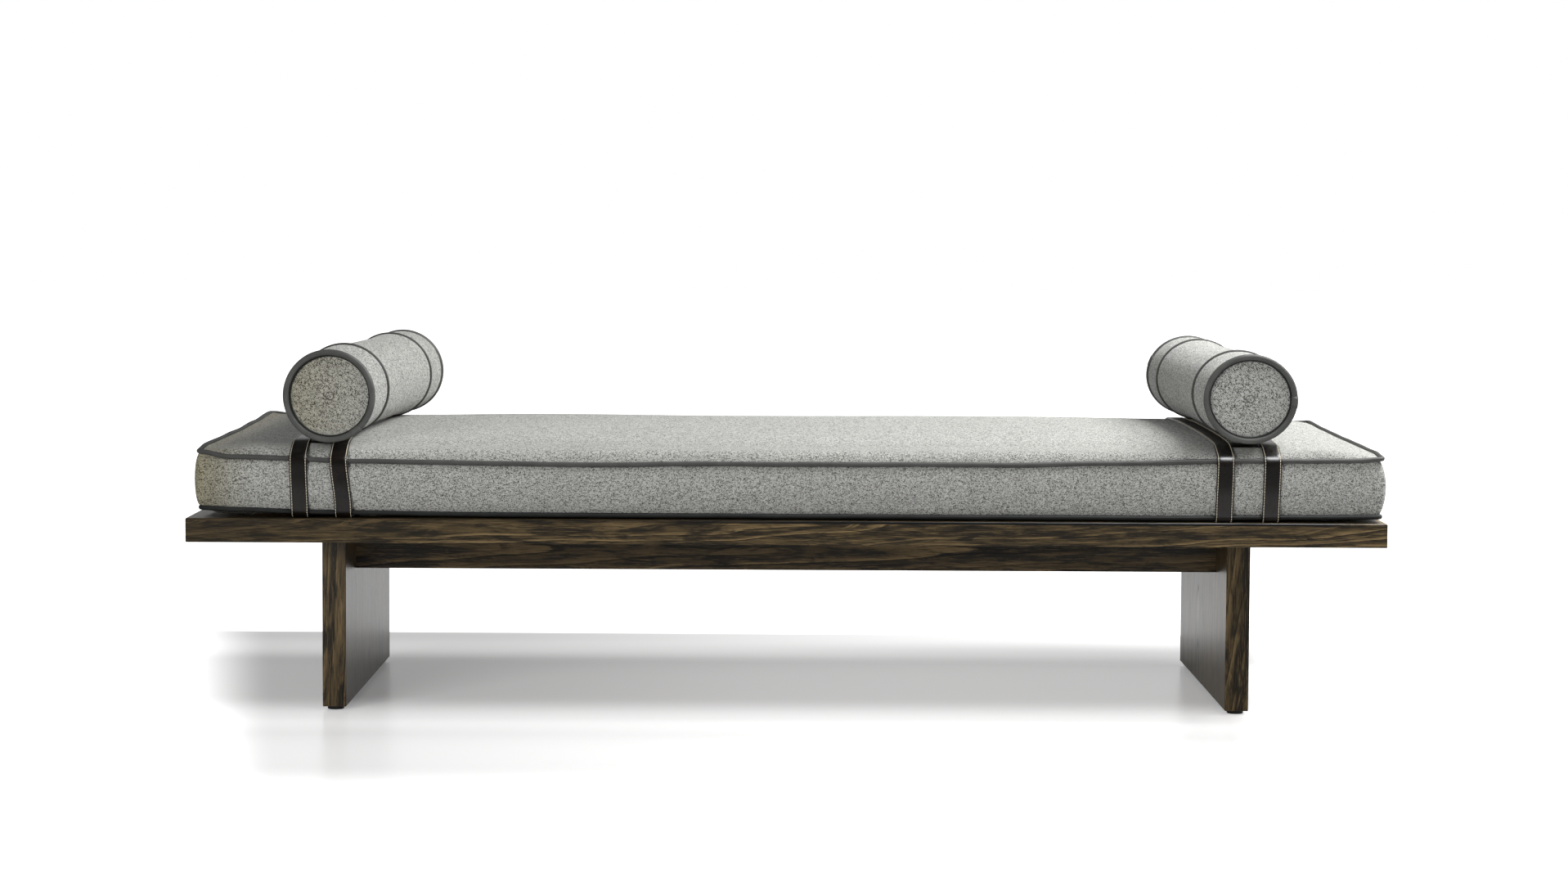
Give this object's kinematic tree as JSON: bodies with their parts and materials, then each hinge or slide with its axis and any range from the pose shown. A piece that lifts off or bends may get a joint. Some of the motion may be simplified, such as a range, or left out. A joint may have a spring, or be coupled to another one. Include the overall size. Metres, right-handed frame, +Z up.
{
  "type": "backless divan",
  "caption": "Low backless divan: a slatted wooden platform on two panel legs, a piped box mattress and a round bolster at each end held by leather straps.",
  "frame": {"origin": "on the floor, under the middle of the platform", "axes": "+X along the divan towards its right-hand end, -Y is the front, +Z up"},
  "size_m": [2, 0.85, 0.6187],
  "materials": {
    "dark_wood": "satin",
    "pale_wood": "matte",
    "tweed": "matte",
    "piping": "satin",
    "filling": "matte",
    "strap_leather": "gloss",
    "screw_steel": "satin",
    "glide_plastic": "matte"
  },
  "bodies": {
    "frame": {"corner_splines": "pale_wood", "frame_dowels": "pale_wood", "frame_screws": "screw_steel", "front_left_glide": "glide_plastic", "front_rail": "dark_wood", "front_right_glide": "glide_plastic", "front_stretcher": "dark_wood", "left_cross_rail": "dark_wood", "left_end_rail": "dark_wood", "left_leg": "dark_wood", "middle_cross_rail": "dark_wood", "rear_left_glide": "glide_plastic", "rear_rail": "dark_wood", "rear_right_glide": "glide_plastic", "rear_stretcher": "dark_wood", "right_cross_rail": "dark_wood", "right_end_rail": "dark_wood", "right_leg": "dark_wood", "slat_01": "pale_wood", "slat_02": "pale_wood", "slat_03": "pale_wood", "slat_04": "pale_wood", "slat_05": "pale_wood", "slat_06": "pale_wood", "slat_07": "pale_wood", "slat_08": "pale_wood", "slat_09": "pale_wood", "slat_10": "pale_wood", "slat_11": "pale_wood", "slat_12": "pale_wood", "slat_screws": "screw_steel"},
    "mattress": {"mattress_bottom_piping": "piping", "mattress_cover": "tweed", "mattress_foam": "filling", "mattress_top_piping": "piping"},
    "left_bolster": {"left_bolster_core": "filling", "left_bolster_cover": "tweed", "left_bolster_front_end_piping": "piping", "left_bolster_front_ring_piping": "piping", "left_bolster_rear_end_piping": "piping", "left_bolster_rear_ring_piping": "piping", "left_front_bridge": "strap_leather", "left_inner_strap": "strap_leather", "left_outer_strap": "strap_leather", "left_rear_bridge": "strap_leather"},
    "right_bolster": {"right_bolster_core": "filling", "right_bolster_cover": "tweed", "right_bolster_front_end_piping": "piping", "right_bolster_front_ring_piping": "piping", "right_bolster_rear_end_piping": "piping", "right_bolster_rear_ring_piping": "piping", "right_front_bridge": "strap_leather", "right_inner_strap": "strap_leather", "right_outer_strap": "strap_leather", "right_rear_bridge": "strap_leather"}
  },
  "joints": [
    {"name": "mattress_lift", "type": "slide", "parent": "frame", "child": "mattress", "axis": [0, 0, 1], "range_m": [0, 0.35]},
    {"name": "left_bolster_slide", "type": "slide", "parent": "mattress", "child": "left_bolster", "axis": [1, 0, 0], "range_m": [-0.1, 0.3]},
    {"name": "right_bolster_slide", "type": "slide", "parent": "mattress", "child": "right_bolster", "axis": [-1, 0, 0], "range_m": [-0.1, 0.3]}
  ]
}
